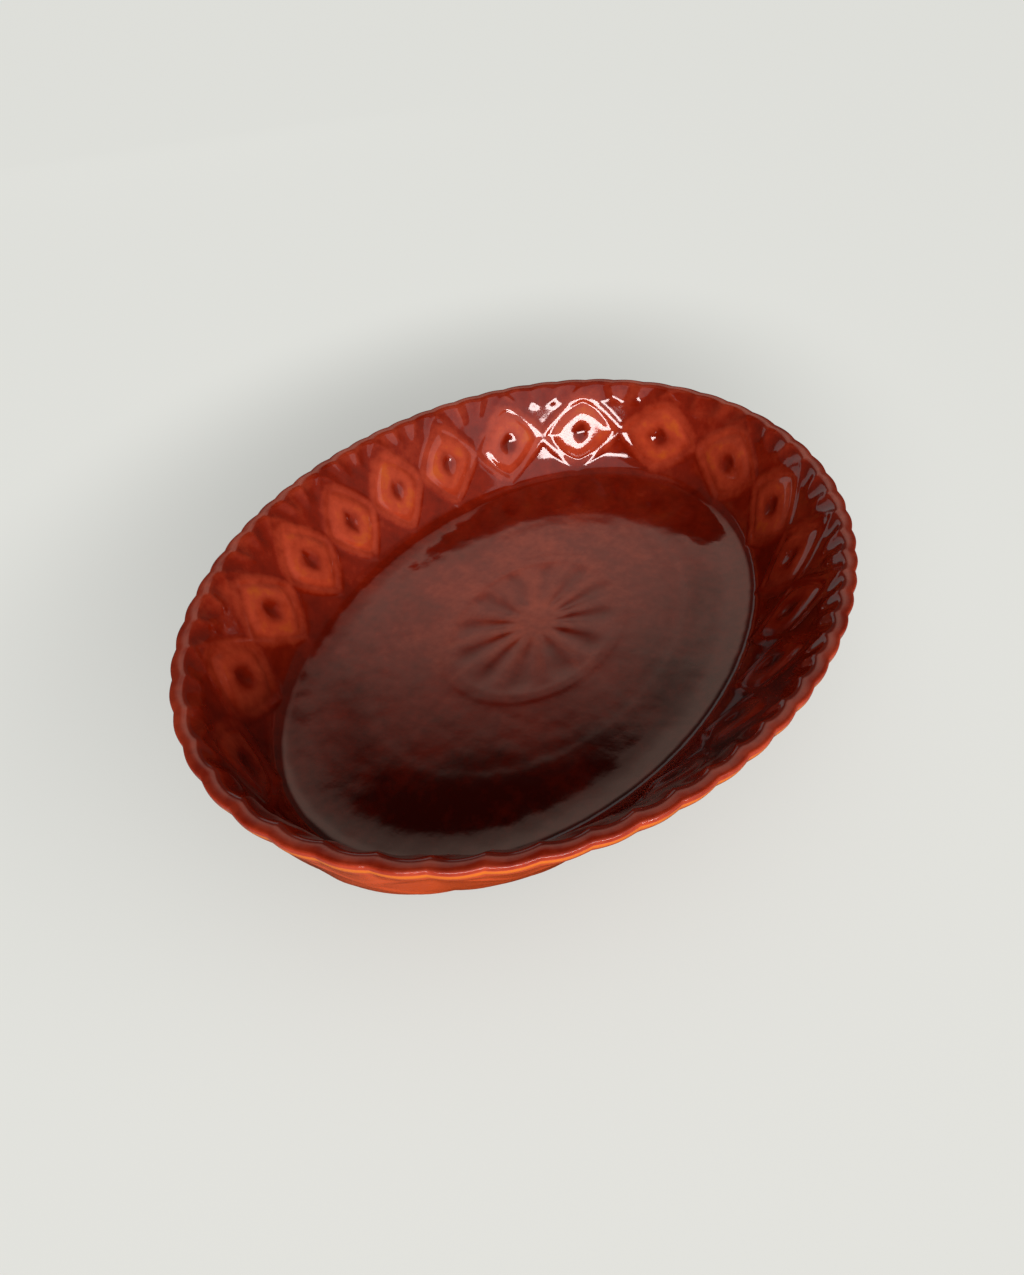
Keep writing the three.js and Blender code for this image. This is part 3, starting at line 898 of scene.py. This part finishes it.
class DISH_OT_outer_glaze(bpy.types.Operator):
    """Builds the coat of glaze on the outside, down to the glaze line"""

    bl_idname = "dish.outer_glaze"
    bl_label = "Outer glaze"

    def execute(self, context):
        settings = context.scene.dish
        shape, first_turn = settings.shape, settings.relief.turn
        rows = round_section(outside_section(shape))
        columns = np.where(rows[:, LIP] > SCALLOPED, FULL_COLUMNS, HALF_COLUMNS)
        rings = rings_of_coat(rows, first_turn, shape.glaze_depth, 0, 1, columns)
        piece = add_piece("outer_coat", make_mesh("outer_coat", rings, closed=True))
        press_relief(piece, settings, glazed_earthenware("amber glaze", settings.colours, outside=True))
        finish_piece(piece, "outer_glaze")
        return {"FINISHED"}


class DISH_OT_clay_body(bpy.types.Operator):
    """Builds the fired clay body with its bare foot"""

    bl_idname = "dish.clay_body"
    bl_label = "Clay body"

    def execute(self, context):
        settings = context.scene.dish
        shape, first_turn = settings.shape, settings.relief.turn
        inside = thin_out(round_section(inside_section(shape)), 2)
        outside = thin_out(round_section(outside_section(shape)), 2)
        foot = round_section(foot_section(shape))
        rings = []
        for rows, sink, inner, outer in (
            (inside, shape.clay_depth, 1, 0),
            (outside, shape.clay_depth, 0, 1),
            (foot, 0, 0, 0),
        ):
            coarse = np.full(len(rows), COARSE_COLUMNS)
            rings += rings_of(rows, first_turn, sink, inner, outer, coarse)
        piece = add_piece("clay_dish", make_mesh("clay_dish", rings))
        press_relief(piece, settings, fired_clay(settings.colours))
        finish_piece(piece, "clay_body")
        return {"FINISHED"}


# Camera: the point that it looks at, its distance and its turns, its lens and sensor in mm
CAMERA_TARGET = Vector((-57.66, -26.31, 60)) * MM
CAMERA_DISTANCE = 278.5 * MM
CAMERA_AZIMUTH = math.radians(-54.28)
CAMERA_ELEVATION = math.radians(44.29)
CAMERA_ROLL = math.radians(-3.78)
FOCAL_LENGTH = 20.35
SENSOR_WIDTH = 36
NEAR_CLIP = 0.01

# Softboxes: name, azimuth and elevation in degrees, distance, size, power, aim and colour
SOFTBOXES = (
    # Like a window, low behind the camera, whose reflection is the highlight on the far wall
    ("window_softbox", -139, 13.6, 1.2, (1.1, 0.15), 10.5, (0.138, 0.052, 0.036), (1, 0.86, 0.85)),
    # A broad soft key above it, and a weak fill from behind the dish
    ("key_softbox", -125, 42, 2.0, (2.6, 2.0), 10, (0, 0, 0.03), (1, 1, 1)),
    ("fill_softbox", 62, 12, 1.5, (1.1, 0.5), 0.8, (0, 0, 0.03), (1, 1, 1)),
)

# Middle of the soft panel behind the dish, seen from it: azimuth 34 and elevation 42 degrees
PANEL_DIRECTION = (0.616, 0.416, 0.669)
# Middle of the dim glow beside it: azimuth -85 and elevation 20 degrees
GLOW_DIRECTION = (0.082, -0.936, 0.342)
STUDIO_COLOUR = (1, 0.68, 0.55, 1)
# Light of the studio: what a band of it is, what it follows, from where to where, and how strong it is at
# both. The last three only hold the panel back.
STUDIO_BANDS = (
    ("walls", "height", 0.765, 0.81, 0.1, 0.015),
    ("lamp", "height", 0.885, 0.94, 0.0, 0.2),
    ("glow", "near glow", 0.75, 0.97, 0.0, 0.22),
    ("panel", "near panel", 0.93, 0.99, 0.0, 0.9),
    ("under the ceiling", "height", 0.765, 0.8, 1.0, 0.0),
    ("over the walls", "height", 0.42, 0.6, 0.0, 1.0),
    ("fading upwards", "height", 0.66, 0.77, 1.0, 0.5),
)


def place_camera():
    """Stands the camera where the photograph was taken from."""
    level = math.cos(CAMERA_ELEVATION)
    side = math.sin(CAMERA_AZIMUTH) * level
    back = Vector((side, -math.cos(CAMERA_AZIMUTH) * level, math.sin(CAMERA_ELEVATION)))
    right = Vector((0, 0, 1)).cross(back).normalized()
    up = back.cross(right)
    across = right * math.cos(CAMERA_ROLL) + up * math.sin(CAMERA_ROLL)
    upright = up * math.cos(CAMERA_ROLL) - right * math.sin(CAMERA_ROLL)
    camera = bpy.data.objects.new("camera", bpy.data.cameras.new("camera"))
    camera.data.lens = FOCAL_LENGTH
    camera.data.sensor_width = SENSOR_WIDTH
    camera.data.clip_start = NEAR_CLIP
    turned = Matrix((across, upright, back)).transposed().to_4x4()
    camera.matrix_world = Matrix.Translation(CAMERA_TARGET + back * CAMERA_DISTANCE) @ turned
    bpy.context.scene.collection.objects.link(camera)
    bpy.context.scene.camera = camera


def add_softbox(name, azimuth, elevation, distance, size, power, aim, colour):
    """A rectangular soft light that stands round the dish and points at it."""
    lamp = bpy.data.lights.new(name, "AREA")
    lamp.shape = "RECTANGLE"
    lamp.size, lamp.size_y = size
    lamp.energy = power
    lamp.color = colour
    box = bpy.data.objects.new(name, lamp)
    turn, rise = math.radians(azimuth), math.radians(elevation)
    away = Vector((math.cos(turn) * math.cos(rise), math.sin(turn) * math.cos(rise), math.sin(rise)))
    turned = away.to_track_quat("Z", "Y").to_matrix().to_4x4()
    box.matrix_world = Matrix.Translation(Vector(aim) + away * distance) @ turned
    bpy.context.scene.collection.objects.link(box)


def light_studio():
    """The studio round the dish: dim walls under a dark ceiling with a weak lamp, a soft panel behind the
    dish, which the glazed floor mirrors as a haze, and a dim glow beside it."""
    world = bpy.data.worlds.new("studio")
    bpy.context.scene.world = world
    world.use_nodes = True
    tree = world.node_tree
    tree.nodes.clear()
    direction = add_node(tree, "ShaderNodeTexCoord").outputs["Generated"]
    follows = {"height": add_node(tree, "ShaderNodeSeparateXYZ", {0: direction}).outputs[2]}
    for name, middle in (("near panel", PANEL_DIRECTION), ("near glow", GLOW_DIRECTION)):
        facing = add_node(tree, VECTORS, {0: direction, 1: middle}, operation="DOT_PRODUCT")
        follows[name] = facing.outputs["Value"]
    bands = {}
    for name, followed, start, end, first, last in STUDIO_BANDS:
        span = {"From Min": start, "From Max": end, "To Min": first, "To Max": last}
        span["Value"] = follows[followed]
        bands[name] = add_node(tree, RANGE, span, interpolation_type="SMOOTHSTEP")
    light = bands["panel"]
    for name in ("under the ceiling", "over the walls", "fading upwards"):
        light = add_node(tree, MATHS, {0: light, 1: bands[name]}, operation="MULTIPLY")
    for name in ("walls", "lamp", "glow"):
        light = add_node(tree, MATHS, {0: light, 1: bands[name]}, operation="ADD")
    studio = add_node(tree, "ShaderNodeBackground", {"Color": STUDIO_COLOUR, "Strength": light})
    add_node(tree, "ShaderNodeOutputWorld", {"Surface": studio})


class DISH_OT_stage(bpy.types.Operator):
    """Sets up the camera, the pale floor and the studio light"""

    bl_idname = "dish.stage"
    bl_label = "Stage"

    def execute(self, context):
        place_camera()
        reach = 40
        corners = [(-reach, -reach, 0), (reach, -reach, 0), (reach, reach, 0), (-reach, reach, 0)]
        mesh = bpy.data.meshes.new("paper_floor")
        mesh.from_pydata(corners, [], [(0, 1, 2, 3)])
        floor = add_piece("paper_floor", mesh)
        mesh.materials.append(studio_floor(context.scene.dish.colours))
        for softbox in SOFTBOXES:
            add_softbox(*softbox)
        light_studio()
        context.scene.view_settings.view_transform = "Standard"
        return {"FINISHED"}


class DISH_PT_panel(bpy.types.Panel):
    """Lists the dish's sizes, colours and operators"""

    bl_idname = "DISH_PT_panel"
    bl_label = "Glazed oval dish"
    bl_space_type = "VIEW_3D"
    bl_region_type = "UI"
    bl_category = "Dish"

    def draw(self, context):
        settings = context.scene.dish
        for group in (settings.shape, settings.relief, settings.colours):
            column = self.layout.column(align=True)
            for name in group.__annotations__:
                column.prop(group, name)
        for operator in OPERATORS:
            self.layout.operator(operator.bl_idname)


OPERATORS = (DISH_OT_clay_body, DISH_OT_inner_glaze, DISH_OT_outer_glaze, DISH_OT_stage)
CLASSES = (DishShape, DishRelief, GlazeColours, DishSettings, *OPERATORS, DISH_PT_panel)


def register():
    for cls in CLASSES:
        bpy.utils.register_class(cls)
    bpy.types.Scene.dish = PointerProperty(type=DishSettings)


def unregister():
    del bpy.types.Scene.dish
    for cls in reversed(CLASSES):
        bpy.utils.unregister_class(cls)


def main():
    register()
    bpy.ops.dish.clay_body()
    bpy.ops.dish.inner_glaze()
    bpy.ops.dish.outer_glaze()
    bpy.ops.dish.stage()


if __name__ == "__main__":
    main()
